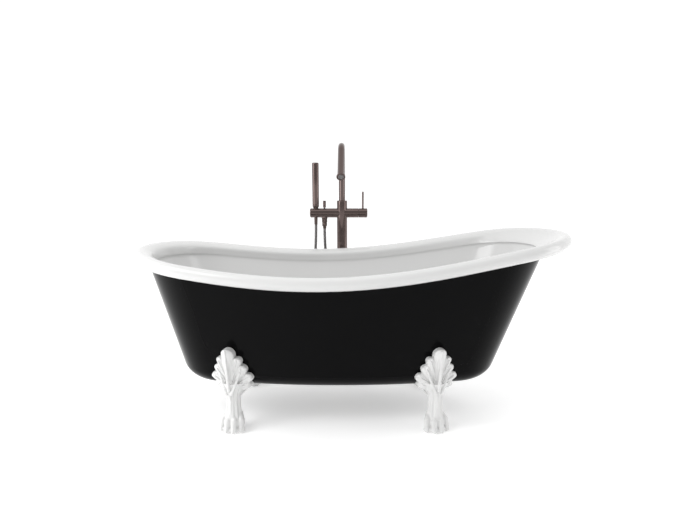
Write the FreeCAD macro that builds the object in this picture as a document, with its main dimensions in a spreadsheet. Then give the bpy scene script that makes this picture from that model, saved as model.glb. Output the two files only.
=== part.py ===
import FreeCAD, Part
import math
import os
import re

import Sketcher

# Free-standing bath on four claw feet, with a floor-standing filler behind it.
# X runs along the bath towards its higher end, Y towards the filler, Z up.
# The origin is on the floor, in the middle of the ground that the set covers.
# All sizes are millimetres.

V = FreeCAD.Vector
doc = FreeCAD.newDocument("clawfoot_bath")

SIZES = [
    # bath, rim
    ("rim_length", 1700, "over the rim, end to end"),
    ("rim_width", 746, "over the rim, side to side"),
    ("rim_at_left", 686.5, "crest height at the lower end"),
    ("rim_at_left_quarter", 634, "crest height a quarter of the length in"),
    ("rim_at_middle", 624, "crest height at the middle, where the rim is lowest"),
    ("rim_at_right_quarter", 680, "crest height three quarters of the length in"),
    ("rim_at_right", 743, "crest height at the higher end"),
    ("roll_radius", 24, "outer radius of the rolled edge"),
    ("rim_band", 62, "from the outer edge to where the rim falls into the basin"),
    ("band_fall", 16, "how far the band falls over its width"),
    ("shoulder_depth", 70, "from the crest to the top of the straight inner wall"),
    ("corner_share", 0.8, "corner radius of every oval, as a share of its half width"),
    # bath, outer skin
    ("overhang_left", 52, "rim beyond the skin at the lower end"),
    ("overhang_right", 98, "rim beyond the skin at the higher end"),
    ("overhang_side", 45, "rim beyond the skin along the sides"),
    ("skin_length", 1268, "skin where its straight wall starts"),
    ("skin_width", 456, "skin where its straight wall starts"),
    ("skin_shift", -53, "middle of the lower skin, from the middle of the rim"),
    ("skin_bottom", 156, "underside of the skin above the floor"),
    ("skin_corner", 92, "radius from the underside to the wall"),
    ("skin_wall", 4, "thickness of the skin"),
    ("seat_clear", 0.3, "gap between curved faces that seat on each other"),
    # bath, basin
    ("corner_sweep", 72, "degrees that the bottom corners turn, from level to the wall's lean"),
    ("shell_gap_end", 49, "between the skin and the basin where their straight walls start, at the ends"),
    ("shell_gap_side", 28, "between the skin and the basin where their straight walls start, at the sides"),
    ("basin_corner", 85, "inside radius from the floor to the wall"),
    ("basin_wall", 6, "thickness of the basin"),
    ("basin_set_in", 22, "straight inner wall's top inside the skin's edge"),
    ("lip_depth", 40, "from the crest to the foot of the lip"),
    ("lip_set_in", 17, "foot of the lip inside the skin's edge"),
    ("basin_floor", 8, "thickness of the basin's floor"),
    ("board_thickness", 18, "board between the skin and the basin"),
    ("board_past_left", 51, "board beyond the left feet's bolts"),
    ("board_past_right", 81, "board beyond the right feet's bolts"),
    ("board_width", 200, "board between the skin and the basin"),
    # claw feet
    ("foot_left", -452, "left pair of feet, along the bath"),
    ("foot_right", 316, "right pair of feet, along the bath"),
    ("foot_side", 207, "feet out from the bath's centre line"),
    ("foot_yaw", 10, "degrees that each foot turns towards its end"),
    ("leaf_top", 342, "top of the leaf above the floor"),
    ("leaf_crown", 42, "ridge of the leaf in front of the foot's axis"),
    ("leaf_lean", 6, "degrees that the leaf leans out with the wall"),
    ("leaf_sweep", 22, "degrees that each half of the leaf falls away from the ridge"),
    ("leaf_bottom", 168, "where the leaf springs from the leg"),
    ("leaf_width", 163, "leaf over its lower lobes"),
    ("leaf_tip_radius", 24, "rounded tip of the leaf"),
    ("leaf_back", 62, "leaf behind the foot's axis, before it is fitted to the skin"),
    ("leg_width", 60, "leg at its slimmest"),
    ("leg_front", 31, "leg in front of the foot's axis"),
    ("leg_back", 27, "leg behind the foot's axis"),
    ("paw_width", 102, "paw over its toes"),
    ("paw_front", 50, "toes in front of the foot's axis"),
    ("paw_back", 38, "heel behind the foot's axis"),
    ("toe_height", 62, "knuckles above the sole"),
    ("shelf_width", 58, "shelf that carries the bath"),
    ("shelf_thickness", 20, "shelf that carries the bath"),
    ("shelf_reach", 150, "shelf behind the foot's axis"),
    ("bolt_set_in", 122, "bolt behind the foot's axis"),
    ("bolt_dia", 10, "bolt that holds a foot"),
    ("bolt_length", 40, "under the head"),
    ("bolt_clear", 0.5, "hole beyond the bolt, each side"),
    ("bolt_head_across", 17, "bolt head, across its flats"),
    ("bolt_head_height", 6.5, "bolt head"),
    ("pad_dia", 40, "pad under a paw"),
    ("pad_thickness", 3, "pad under a paw"),
    # waste
    ("waste_x", -53, "waste along the bath"),
    ("waste_bore", 34, "way through the waste"),
    ("waste_tube", 48, "outside of the waste's threaded tube"),
    ("waste_flange_dia", 76, "waste's flange in the bath"),
    ("waste_flange_thickness", 3, "waste's flange in the bath"),
    ("waste_hole_clear", 1, "hole beyond the waste's tube, each side"),
    ("waste_tube_length", 44, "below the bath's floor"),
    ("access_dia", 120, "hole in the board and skin round the waste"),
    ("seal_thickness", 2, "seal under the bath's floor"),
    ("waste_nut_across", 66, "waste's back nut, across its flats"),
    ("waste_nut_height", 10, "waste's back nut"),
    ("tail_dia", 40, "outside of the waste's tail, which the drain takes"),
    ("tail_length", 46, "waste's tail"),
    ("cross_bar_drop", 13, "underside of the cross bar below the bath's floor"),
    ("cross_bar_width", 5, "cross bar in the waste"),
    ("plug_guide_length", 14, "guide of the plug's stem"),
    ("plug_gap", 0.5, "plug from its seat and from the bore"),
    ("plug_dia", 62, "plug's cap"),
    ("plug_thickness", 4, "plug's cap"),
    ("plug_stem_dia", 8, "plug's stem"),
    ("plug_stem_length", 30, "plug's stem"),
    ("stem_clear", 0.05, "running clearance of the stem, each side"),
    # filler
    ("filler_x", -47, "filler's column along the bath"),
    ("filler_back", 440, "filler's column behind the bath's centre line"),
    ("column_dia", 50, "column"),
    ("column_wall", 2.5, "column"),
    ("plate_dia", 124, "column's flange on the floor"),
    ("plate_thickness", 10, "column's flange on the floor"),
    ("plate_pcd", 94, "circle of the flange's screw holes"),
    ("plate_hole_dia", 9, "flange's screw holes"),
    ("plate_hole_count", 4, "flange's screw holes"),
    ("spigot_length", 20, "mixer inside the column"),
    ("bar_height", 781, "mixer's bar above the floor"),
    ("joint_below_bar", 191, "where the column meets the mixer, below the bar's axis"),
    ("barrel_above_bar", 60, "top of the mixer's vertical barrel, above the bar's axis"),
    ("bar_dia", 45, "mixer's bar"),
    ("bar_left", 155, "bar's end left of the column"),
    ("bar_right", 80, "bar's end right of the column"),
    ("cap_length", 42, "turning cap at the right end"),
    ("cap_wall", 4, "turning cap"),
    ("cap_gap", 0.6, "gap between the bar and the cap"),
    ("holder_x", 127, "hand shower's hole left of the column"),
    ("diverter_x", 85, "diverter left of the column"),
    ("spout_dia", 30, "spout's tube"),
    ("spout_wall", 2, "spout's tube"),
    ("spout_bend", 95, "spout's bend on its centre line"),
    ("spout_rise", 251, "top of the spout's centre line, above the mixer's barrel"),
    ("spout_turn", 131, "degrees that the spout bends"),
    ("spout_tail", 176, "straight end of the spout"),
    ("spout_seat", 40, "spout inside the mixer's barrel"),
    ("spout_clear", 0.05, "running clearance of the spout, each side"),
    ("outlet_dia", 38, "ring round the outlet"),
    ("outlet_length", 9, "ring round the outlet"),
    ("outlet_proud", 2, "ring beyond the spout's end"),
    ("hand_dia", 32, "hand shower"),
    ("hand_above_bar", 240, "top of the hand shower, above the bar's axis"),
    ("hand_taper", 14, "height of the hand shower's tapered foot"),
    ("hand_neck_length", 37, "hand shower's neck in its hole"),
    ("hand_neck_dia", 22, "hand shower's neck in its hole"),
    ("holder_clear", 0.4, "hole beyond the neck, each side"),
    ("spray_drop", 14, "spray face below the hand shower's top"),
    ("spray_set_in", 5, "spray face's back inside the hand shower's surface"),
    ("spray_width", 18, "spray face"),
    ("spray_length", 70, "spray face"),
    ("spray_thickness", 3, "spray face"),
    ("knob_dia", 15, "diverter's knob"),
    ("knob_height", 33, "diverter's knob"),
    ("knob_stem_dia", 7, "diverter's stem"),
    ("knob_lift", 4, "knob above the bar when it is down"),
    ("union_dia", 26, "hose outlet under the bar"),
    ("union_length", 24, "hose outlet under the bar"),
    ("hose_dia", 14, "hose"),
    ("hand_nut_dia", 18, "hose's nut on the hand shower"),
    ("hand_nut_length", 41, "hose's nut on the hand shower"),
    ("outlet_nut_dia", 24, "hose's nut on its outlet"),
    ("outlet_nut_length", 28, "hose's nut on its outlet"),
    ("lever_dia", 9, "lever's pin"),
    ("lever_length", 103, "lever above the bar's axis"),
    ("lever_from_end", 22, "lever in from the cap's end"),
    ("lever_hub_dia", 16, "cross hub that the lever tilts on"),
    ("spindle_dia", 10, "cartridge's spindle in the cap"),
    ("lever_tilt", 15, "degrees that the lever tilts to open the flow"),
    ("cartridge_dia", 35, "valve cartridge in the bar"),
    ("cartridge_length", 46, "valve cartridge in the bar"),
]

sheet = doc.addObject("Spreadsheet::Sheet", "Sizes")
for row, (alias, value, note) in enumerate(SIZES, start=1):
    sheet.set("A%d" % row, alias)
    sheet.set("B%d" % row, str(value))
    sheet.set("C%d" % row, note)
    sheet.setAlias("B%d" % row, alias)
doc.recompute()
ALIASES = {alias for alias, value, note in SIZES}
UP = V(0, 0, 1)
NODES = []


def size(formula):
    """The value of a formula of named sizes."""
    return float(sheet.evalExpression(formula))


def bound(formula):
    """The formula as other objects write it, each size looked up on the sheet."""
    return re.sub("[a-z][a-z_]+", lambda word: "Sizes." * (word.group() in ALIASES) + word.group(), formula)


class Named:
    """Every size of the sheet as an attribute."""

    def __getattr__(self, alias):
        return float(sheet.get(alias))


S = Named()

# The bath's centre line and the filler's column in the frame of the whole set.
BATH_Y = "(rim_width / 2 - filler_back - plate_dia / 2) / 2"
FILLER_Y = "(rim_width / 2 + filler_back - plate_dia / 2) / 2"
BATH = V(0, size(BATH_Y), 0)
COLUMN = V(S.filler_x, size(FILLER_Y), 0)


def node(thing, label):
    """Marks a document object as one of the set's pieces."""
    thing.Label = label
    NODES.append(thing)
    return thing


def place(thing, at, along=UP):
    """Puts a thing's own origin at three formulas, with its own Z along a direction."""
    thing.Placement = FreeCAD.Placement(V(0, 0, 0), FreeCAD.Rotation(UP, along))
    for coordinate, formula in zip("xyz", at):
        thing.setExpression("Placement.Base." + coordinate, bound(formula))
    return thing


def primitive(kind, name, at, along=UP, **sizes):
    """A box, cylinder, cone, ball or prism with its sizes bound to the sheet."""
    solid = doc.addObject("Part::" + kind, name)
    for prop, formula in sizes.items():
        solid.setExpression(prop, bound(formula))
    return place(solid, at, along)


def rod(name, diameter, length, at, along=UP):
    return primitive("Cylinder", name, at, along, Radius="(%s) / 2" % diameter, Height=length)


def fused(name, *solids):
    whole = doc.addObject("Part::MultiFuse", name)
    whole.Shapes = list(solids)
    return whole


def cut(name, base, *tools):
    whole = doc.addObject("Part::Cut", name)
    whole.Base = base
    whole.Tool = tools[0] if len(tools) == 1 else fused(name + "_tools", *tools)
    return whole


def shaped(name, shape):
    """A piece whose form is worked out from the sheet's sizes."""
    thing = doc.addObject("Part::Feature", name)
    thing.Shape = shape
    return thing


def turned(name, outline, at, along=UP):
    """A body turned about its own Z from an outline of (radius, height) formulas."""
    body = doc.addObject("PartDesign::Body", name)
    sketch = body.newObject("Sketcher::SketchObject", name + "_outline")
    plane = [part for part in body.Origin.OriginFeatures if part.Role == "XZ_Plane"][0]
    sketch.AttachmentSupport = (plane, [""])
    sketch.MapMode = "FlatFace"
    points = [V(size(radius), size(height), 0) for radius, height in outline]
    for index, point in enumerate(points):
        sketch.addGeometry(Part.LineSegment(point, points[(index + 1) % len(points)]), False)
    for index in range(len(points)):
        sketch.addConstraint(Sketcher.Constraint("Coincident", index - 1 if index else len(points) - 1, 2, index, 1))
    for index, formulas in enumerate(outline):
        for kind, axis, formula in zip(("DistanceX", "DistanceY"), (-2, -1), formulas):
            if formula == "0":
                sketch.addConstraint(Sketcher.Constraint("PointOnObject", index, 1, axis))
                continue
            at_origin = Sketcher.Constraint(kind, -1, 1, index, 1, size(formula))
            number = sketch.addConstraint(at_origin)
            sketch.setExpression("Constraints[%d]" % number, bound(formula))
    turn = body.newObject("PartDesign::Revolution", name + "_turn")
    turn.Profile = sketch
    turn.ReferenceAxis = (sketch, ["V_Axis"])
    turn.Angle = 360
    return place(body, at, along)


# ---------------------------------------------------------------- ovals of the bath
# Every level of the bath is an oval of tangent arcs: one at each end, four at the corners and
# one along each side. Their joints lie at the same angles on every oval, so equal steps along
# the arcs give rings of points whose chords run parallel from level to level.

END_TURN = math.radians(38)
CORNER_TURN = math.radians(80)
QUARTER_TURN = math.radians(90)
END_STEPS, CORNER_STEPS, SIDE_STEPS = 4, 5, 3


def quarter_oval(half_length, half_width):
    """Points from the oval's end to the middle of its side, in one quarter."""
    corner = S.corner_share * half_width
    across = half_width - corner * (math.sin(CORNER_TURN) - math.sin(END_TURN))
    along = half_length - corner * (math.cos(END_TURN) - math.cos(CORNER_TURN))
    end_in, end_out = 1 - math.cos(END_TURN), math.sin(END_TURN)
    side_in, side_out = 1 - math.sin(CORNER_TURN), math.cos(CORNER_TURN)
    share = end_out * side_out - side_in * end_in
    end = (across * side_out - side_in * along) / share
    side = (end_out * along - end_in * across) / share
    arcs = (
        (end, 0, END_TURN, END_STEPS),
        (corner, END_TURN, CORNER_TURN, CORNER_STEPS),
        (side, CORNER_TURN, QUARTER_TURN, SIDE_STEPS),
    )
    x, y = half_length, 0
    points = [(x, y)]
    for radius, start, stop, steps in arcs:
        for step in range(steps):
            first = start + (stop - start) * step / steps
            last = start + (stop - start) * (step + 1) / steps
            x -= radius * (math.cos(first) - math.cos(last))
            y += radius * (math.sin(last) - math.sin(first))
            points.append((x, y))
    return points


def oval(left, right, half_width, height):
    """A ring round the bath, from its left and right ends and half width, at a height or along the rim."""
    quarter = quarter_oval((right - left) / 2, half_width)
    middle = (left + right) / 2
    flat = list(quarter)
    flat += [(-x, y) for x, y in quarter[-2::-1]]
    flat += [(-x, -y) for x, y in quarter[1:]]
    flat += [(x, -y) for x, y in quarter[-2:0:-1]]
    level = height if callable(height) else lambda x: height
    return [BATH + V(middle + x, y, level(middle + x)) for x, y in flat]


def rim_height(x):
    """The crest's height, on the one smooth curve through its five named heights."""
    stations = (-1, -0.5, 0, 0.5, 1)
    heights = (S.rim_at_left, S.rim_at_left_quarter, S.rim_at_middle, S.rim_at_right_quarter, S.rim_at_right)
    place_on = x / (S.rim_length / 2)
    total = 0
    for station, height in zip(stations, heights):
        weight = 1
        for other in stations:
            if other != station:
                weight *= (place_on - other) / (station - other)
        total += weight * height
    return total


def below_rim(depth, left_in, right_in=None, side_in=None):
    """A ring that follows the rim at a depth under its crest, set in from its outer edge."""
    right_in = left_in if right_in is None else right_in
    side_in = left_in if side_in is None else side_in
    half = S.rim_length / 2
    return oval(left_in - half, half - right_in, S.rim_width / 2 - side_in, lambda x: rim_height(x) - depth)


def under_rim(depth, set_in):
    """A ring that follows the rim at a depth, set in from the skin's upper edge."""
    return below_rim(depth, S.overhang_left + set_in, S.overhang_right + set_in, S.overhang_side + set_in)


def bottom_corner(half_length, half_width, floor, radius, steps):
    """Rings round a bottom corner, from the flat floor up to the start of the straight wall."""
    sweep = math.radians(S.corner_sweep)
    rings = []
    for step in range(steps + 1):
        turn = sweep * step / steps
        set_in = radius * (math.sin(sweep) - math.sin(turn))
        height = floor + radius * (1 - math.cos(turn))
        ends = S.skin_shift - half_length + set_in, S.skin_shift + half_length - set_in
        rings.append(oval(*ends, half_width - set_in, height))
    return rings


def facet(*corners):
    return Part.Face(Part.makePolygon(list(corners) + [corners[0]]))


def banded(rings):
    """A closed solid skinned from ring to ring, with a flat face on the first and the last."""
    faces = [facet(*rings[0]), facet(*rings[-1])]
    for lower, upper in zip(rings, rings[1:]):
        for index in range(len(lower)):
            after = (index + 1) % len(lower)
            one, two, three, four = lower[index], lower[after], upper[after], upper[index]
            normal = (two - one).cross(four - one)
            if abs((three - one).dot(normal)) < FLAT * normal.Length:
                faces.append(facet(one, two, three, four))
            else:
                faces += [facet(one, two, three), facet(one, three, four)]
    shell = Part.makeShell(faces)
    shell.sewShape()
    solid = Part.makeSolid(shell)
    if solid.Volume < 0:
        solid.reverse()
    return solid


FLAT = 1e-5  # how far a band's fourth corner may lie off the plane of the others

# ---------------------------------------------------------------- bath shells
ROLL_STEPS = 4
CORNER_RINGS = 3
HIDDEN_CORNER_RINGS = 2


def skin_outside(grown):
    """The skin's outer surface as rings, from its flat bottom to its upper edge, grown by a clearance."""
    rings = bottom_corner(
        S.skin_length / 2 + grown, S.skin_width / 2 + grown, S.skin_bottom - grown, S.skin_corner + grown, CORNER_RINGS
    )
    return rings + [under_rim(2 * S.roll_radius + S.seat_clear, -grown)]


def skin_inside():
    """The skin's inner surface as rings, from its upper edge down to its floor."""
    rings = bottom_corner(
        S.skin_length / 2 - S.skin_wall,
        S.skin_width / 2 - S.skin_wall,
        S.skin_bottom + S.skin_wall,
        S.skin_corner - S.skin_wall,
        HIDDEN_CORNER_RINGS,
    )
    return [under_rim(2 * S.roll_radius + S.seat_clear, S.skin_wall)] + rings[::-1]


FLOOR_UNDER = size("skin_bottom + skin_wall + board_thickness")
FLOOR_TOP = FLOOR_UNDER + S.basin_floor


BASIN_UNDER = (
    S.skin_length / 2 - S.skin_wall - S.shell_gap_end,
    S.skin_width / 2 - S.skin_wall - S.shell_gap_side,
)


def basin_shell():
    """The basin's section, carried round the bath from the inside of its floor, over the rim, to its underside."""
    half_length, half_width = (half - S.basin_wall for half in BASIN_UNDER)
    rings = bottom_corner(half_length, half_width, FLOOR_TOP, S.basin_corner, CORNER_RINGS)
    rings.append(under_rim(S.shoulder_depth, S.basin_set_in))
    rings.append(under_rim(S.lip_depth, S.lip_set_in))
    rings.append(below_rim(S.band_fall, S.rim_band))
    rings.append(below_rim(S.band_fall / 4, (S.rim_band + S.roll_radius) / 2))
    for step in range(ROLL_STEPS + 1):
        turn = math.pi * step / ROLL_STEPS
        depth = S.roll_radius * (1 - math.cos(turn))
        rings.append(below_rim(depth, S.roll_radius * (1 - math.sin(turn))))
    rings.append(under_rim(2 * S.roll_radius, S.lip_set_in - S.basin_wall))
    outside = bottom_corner(*BASIN_UNDER, FLOOR_UNDER, S.basin_corner + S.basin_wall, HIDDEN_CORNER_RINGS)
    return banded(rings + outside[::-1])


waste_way = Part.makeCylinder(
    size("waste_tube / 2 + waste_hole_clear"), FLOOR_TOP, BATH + V(S.waste_x, 0, S.basin_floor)
)
access_way = Part.makeCylinder(S.access_dia / 2, FLOOR_UNDER, BATH + V(S.waste_x, 0, 0))


def foot_place(x, yaw, side):
    """Where a foot stands: its sole's middle, and its turn about Z from facing the front of the bath."""
    turn = FreeCAD.Rotation(UP, yaw)
    return FreeCAD.Placement(BATH + V(x, side * S.foot_side, 0), turn)


FEET = {
    "foot_front_left": foot_place(S.foot_left, -S.foot_yaw, -1),
    "foot_front_right": foot_place(S.foot_right, S.foot_yaw, -1),
    "foot_rear_left": foot_place(S.foot_left, 180 + S.foot_yaw, 1),
    "foot_rear_right": foot_place(S.foot_right, 180 - S.foot_yaw, 1),
}


def at_feet(shape):
    """Copies of a foot's own piece, one at each foot."""
    copies = []
    for spot in FEET.values():
        copy = shape.copy()
        copy.Placement = spot.multiply(copy.Placement)
        copies.append(copy)
    return Part.makeCompound(copies)


def foot_bore(diameter, bottom, top):
    """A round way or bar on the axis of a foot's bolt."""
    return Part.makeCylinder(diameter / 2, top - bottom, V(0, S.bolt_set_in, bottom))


bolt_ways = at_feet(foot_bore(S.bolt_dia + 2 * S.bolt_clear, 0, FLOOR_UNDER))
BOARD_UNDER = S.skin_bottom + S.skin_wall

skin_shell = banded(skin_outside(0) + skin_inside()).cut(access_way).cut(bolt_ways)
node(shaped("outer_skin_shape", skin_shell), "outer_skin")
node(shaped("bath_basin_shape", basin_shell().cut(waste_way)), "bath_basin")


board_left = S.foot_left - S.board_past_left
board_right = S.foot_right + S.board_past_right
board = Part.makeBox(
    board_right - board_left, S.board_width, S.board_thickness,
    BATH + V(board_left, -S.board_width / 2, BOARD_UNDER),
)
screw_ways = at_feet(foot_bore(S.bolt_dia + 2 * S.stem_clear, 0, FLOOR_UNDER))
node(shaped("base_board_shape", board.cut(access_way).cut(screw_ways)), "base_board")

# ---------------------------------------------------------------- claw feet
# A foot's own frame has its sole's middle at the origin and faces -Y.

TOES = 4
STEPS_PER_TOE = 3
HEEL_STEPS = 6
LOBE_SIDES = 12
# height, half width, reach to the front, reach to the back, depth of the toes or flutes
FOOT_LEVELS = (
    ("pad_thickness", "paw_width * 0.46", "paw_front * 0.90", "paw_back * 0.92", 0.16),
    ("pad_thickness + toe_height * 0.22", "paw_width * 0.5", "paw_front", "paw_back", 0.18),
    ("pad_thickness + toe_height * 0.55", "paw_width * 0.49", "paw_front * 0.93", "paw_back", 0.16),
    ("pad_thickness + toe_height * 0.85", "paw_width * 0.44", "paw_front * 0.75", "paw_back * 0.9", 0.12),
    ("pad_thickness + toe_height * 1.1", "paw_width * 0.36", "paw_front * 0.6", "paw_back * 0.78", 0.08),
    ("pad_thickness + toe_height * 1.45", "leg_width * 0.51", "leg_front", "leg_back", 0.10),
    ("leaf_bottom * 0.72", "leg_width * 0.49", "leg_front * 0.97", "leg_back * 0.95", 0.12),
    ("leaf_bottom", "leg_width * 0.56", "leg_front * 1.1", "leg_back * 1.05", 0.08),
    ("leaf_bottom * 1.15", "leg_width * 0.72", "leg_front * 1.15", "leg_back * 1.2", 0.02),
)


def foot_ring(height, half_width, front, back, depth):
    """One level of the foot: four rounded toes or flutes in front, a plain heel behind."""
    ring = []
    steps = TOES * STEPS_PER_TOE
    for step in range(steps):
        turn = math.pi * step / steps
        bump = 1 - depth + depth * abs(math.sin(TOES * turn))
        ring.append(V(-half_width * math.cos(turn) * bump, -front * math.sin(turn) * bump, height))
    for step in range(HEEL_STEPS):
        turn = math.pi * step / HEEL_STEPS
        bump = 1 - depth * (1 - math.sin(turn))
        ring.append(V(half_width * math.cos(turn) * bump, back * math.sin(turn), height))
    return ring


def leaf_outline():
    """The leaf from the front: a pointed plate with rounded lobes up each side, as a flat face."""
    lobes = (
        (0, "leaf_top - leaf_tip_radius", "leaf_tip_radius"),
        (1, "leaf_top - leaf_tip_radius * 2.1", "leaf_tip_radius * 0.62"),
        (1, "leaf_top - leaf_tip_radius * 3.3", "leaf_tip_radius * 0.74"),
        (1, "leaf_bottom + leaf_tip_radius * 2.4", "leaf_tip_radius * 0.86"),
        (1, "leaf_bottom + leaf_tip_radius * 0.95", "leaf_tip_radius * 0.9"),
    )
    reaches = ("0", "leaf_width * 0.3", "leaf_width * 0.39", "leaf_width * 0.5", "leaf_width * 0.42")
    discs = []
    edge = []
    for (sided, height, radius), reach in zip(lobes, reaches):
        middle = size("%s - (%s) * %d" % (reach, radius, sided))
        edge.append(V(middle, 0, size(height)))
        for side in (-1, 1) if sided else (1,):
            spoke = V(0, 0, size(radius))
            turns = [FreeCAD.Rotation(V(0, 1, 0), 360 * step / LOBE_SIDES) for step in range(LOBE_SIDES)]
            discs.append(facet(*[V(side * middle, 0, size(height)) + turn.multVec(spoke) for turn in turns]))
    foot = V(S.leg_width * 0.56, 0, S.leaf_bottom)
    right = edge + [foot]
    left = [V(-point.x, 0, point.z) for point in right[:0:-1]]
    return facet(*(right + left)).multiFuse(discs).removeSplitter()


def leaf():
    """The leaf: its outline carried back to the bath, its front a ridge with a falling wing each side."""
    depth = S.leaf_crown + S.leaf_back
    plate = leaf_outline().extrude(V(0, depth, 0))
    plate.translate(V(0, -S.leaf_crown, 0))
    half = S.leaf_width
    fall = half * math.tan(math.radians(S.leaf_sweep))
    ridge = V(0, -S.leaf_crown, 0)
    wings = facet(ridge, V(half, fall - S.leaf_crown, 0), V(half, depth, 0), V(-half, depth, 0), V(-half, fall - S.leaf_crown, 0))
    rise = S.leaf_top
    lean = rise * math.tan(math.radians(S.leaf_lean))
    crown = wings.extrude(V(0, -lean, rise))
    crown.translate(V(0, S.leaf_bottom * math.tan(math.radians(S.leaf_lean)), 0))
    return plate.common(crown)


def foot_blank():
    """A whole foot before it is fitted to the bath: leaf, leg, paw and the shelf under the bath."""
    levels = []
    for height, half_width, front, back, depth in FOOT_LEVELS:
        levels.append(foot_ring(size(height), size(half_width), size(front), size(back), depth))
    shelf = Part.makeBox(
        S.shelf_width, S.shelf_reach, S.shelf_thickness, V(-S.shelf_width / 2, 0, S.skin_bottom - S.shelf_thickness)
    )
    whole = banded(levels).fuse([leaf(), shelf])
    return whole.cut(foot_bore(S.bolt_dia + 2 * S.bolt_clear, 0, S.skin_bottom))


above_skin = oval(-S.skin_length / 2, S.skin_length / 2, S.skin_width / 2, S.rim_at_right)
skin_clearance = banded(skin_outside(S.seat_clear) + [above_skin])
blank = foot_blank()
for label, spot in FEET.items():
    foot = blank.copy()
    foot.Placement = spot
    node(shaped(label + "_shape", foot.cut(skin_clearance)), label)

head_top = size("skin_bottom - shelf_thickness")
hexagon = Part.makePolygon(
    [
        V(0, S.bolt_set_in, head_top - S.bolt_head_height)
        + FreeCAD.Rotation(UP, 60 * side).multVec(V(S.bolt_head_across / math.sqrt(3), 0, 0))
        for side in range(7)
    ]
)
head = Part.Face(hexagon).extrude(V(0, 0, S.bolt_head_height))
bolt = head.fuse(foot_bore(S.bolt_dia, head_top, head_top + S.bolt_length))
node(shaped("foot_bolts_shape", at_feet(bolt)), "foot_bolts")
node(shaped("foot_pads_shape", at_feet(Part.makeCylinder(S.pad_dia / 2, S.pad_thickness))), "foot_pads")

# ---------------------------------------------------------------- waste
# Heights of the turned pieces run up from each piece's own lower end.

WASTE_Y = BATH_Y
TUBE_BOTTOM = "%s - waste_tube_length - tail_length" % FLOOR_TOP
tube_top = "tail_length + waste_tube_length"
flange_top = tube_top + " + waste_flange_thickness"
tube = turned(
    "waste_tube_body",
    [
        ("waste_bore / 2", "0"),
        ("tail_dia / 2", "0"),
        ("tail_dia / 2", "tail_length"),
        ("waste_tube / 2", "tail_length"),
        ("waste_tube / 2", tube_top),
        ("waste_flange_dia / 2", tube_top),
        ("waste_flange_dia / 2", flange_top),
        ("waste_bore / 2", flange_top),
    ],
    ("waste_x", WASTE_Y, TUBE_BOTTOM),
)
cross_height = "%s - cross_bar_drop" % FLOOR_TOP
bars = []
for index, (along, across) in enumerate((("waste_bore", "cross_bar_width"), ("cross_bar_width", "waste_bore"))):
    bars.append(
        primitive(
            "Box", "waste_bar_%d" % index,
            ("waste_x - (%s) / 2" % along, "%s - (%s) / 2" % (WASTE_Y, across), cross_height),
            Length=along, Width=across, Height="cross_bar_width",
        )
    )
hub = rod("waste_hub", "plug_stem_dia + cross_bar_width", "plug_guide_length", ("waste_x", WASTE_Y, cross_height))
stem_way = rod(
    "waste_stem_way", "plug_stem_dia + 2 * stem_clear", "plug_guide_length", ("waste_x", WASTE_Y, cross_height)
)
node(cut("waste_flange_cut", fused("waste_flange_whole", tube, *bars, hub), stem_way), "waste_flange")

plug_seat = "%s + waste_flange_thickness + plug_gap" % FLOOR_TOP
node(
    turned(
        "waste_plug_body",
        [
            ("0", "0"),
            ("plug_stem_dia / 2", "0"),
            ("plug_stem_dia / 2", "plug_stem_length"),
            ("plug_dia / 2", "plug_stem_length"),
            ("plug_dia / 2", "plug_stem_length + plug_thickness"),
            ("0", "plug_stem_length + plug_thickness"),
        ],
        ("waste_x", WASTE_Y, plug_seat + " - plug_stem_length"),
    ),
    "waste_plug",
)

waste_inside = "waste_tube / 2 + stem_clear"
seal_under = "%s - seal_thickness" % FLOOR_UNDER
seal_outline = [
    (waste_inside, "0"),
    ("waste_nut_across / 2", "0"),
    ("waste_nut_across / 2", "seal_thickness"),
    (waste_inside, "seal_thickness"),
]
node(turned("waste_seal_body", seal_outline, ("waste_x", WASTE_Y, seal_under)), "waste_seal")
nut_under = seal_under + " - waste_nut_height"
back_nut = primitive(
    "Prism", "waste_nut_hexagon", ("waste_x", WASTE_Y, nut_under),
    Circumradius="waste_nut_across / sqrt(3)", Height="waste_nut_height",
)
back_nut_way = rod("waste_nut_way", "waste_tube + 2 * stem_clear", "waste_nut_height", ("waste_x", WASTE_Y, nut_under))
node(cut("waste_nut_cut", back_nut, back_nut_way), "waste_nut")

# ---------------------------------------------------------------- filler
# The filler stands on its own on the floor; its pieces are placed from its column.

COLUMN_AT = ("filler_x", FILLER_Y)
COLUMN_JOINT = "(bar_height - joint_below_bar)"
BARREL_TOP = "(bar_height + barrel_above_bar)"
LEFT, RIGHT = V(-1, 0, 0), V(1, 0, 0)

column_inside = "column_dia / 2 - column_wall"
column = turned(
    "column_body",
    [
        (column_inside, "0"),
        ("plate_dia / 2", "0"),
        ("plate_dia / 2", "plate_thickness"),
        ("column_dia / 2", "plate_thickness"),
        ("column_dia / 2", COLUMN_JOINT),
        (column_inside, COLUMN_JOINT),
    ],
    (*COLUMN_AT, "0"),
)
screw_holes = []
for index in range(int(S.plate_hole_count)):
    turn = "(%d * 360 / plate_hole_count + 45)" % index
    spot = ("filler_x + plate_pcd / 2 * cos(%s)" % turn, FILLER_Y + " + plate_pcd / 2 * sin(%s)" % turn, "0")
    screw_holes.append(rod("plate_hole_%d" % index, "plate_hole_dia", "plate_thickness", spot))
node(cut("column_cut", column, *screw_holes), "riser_column")

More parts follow.
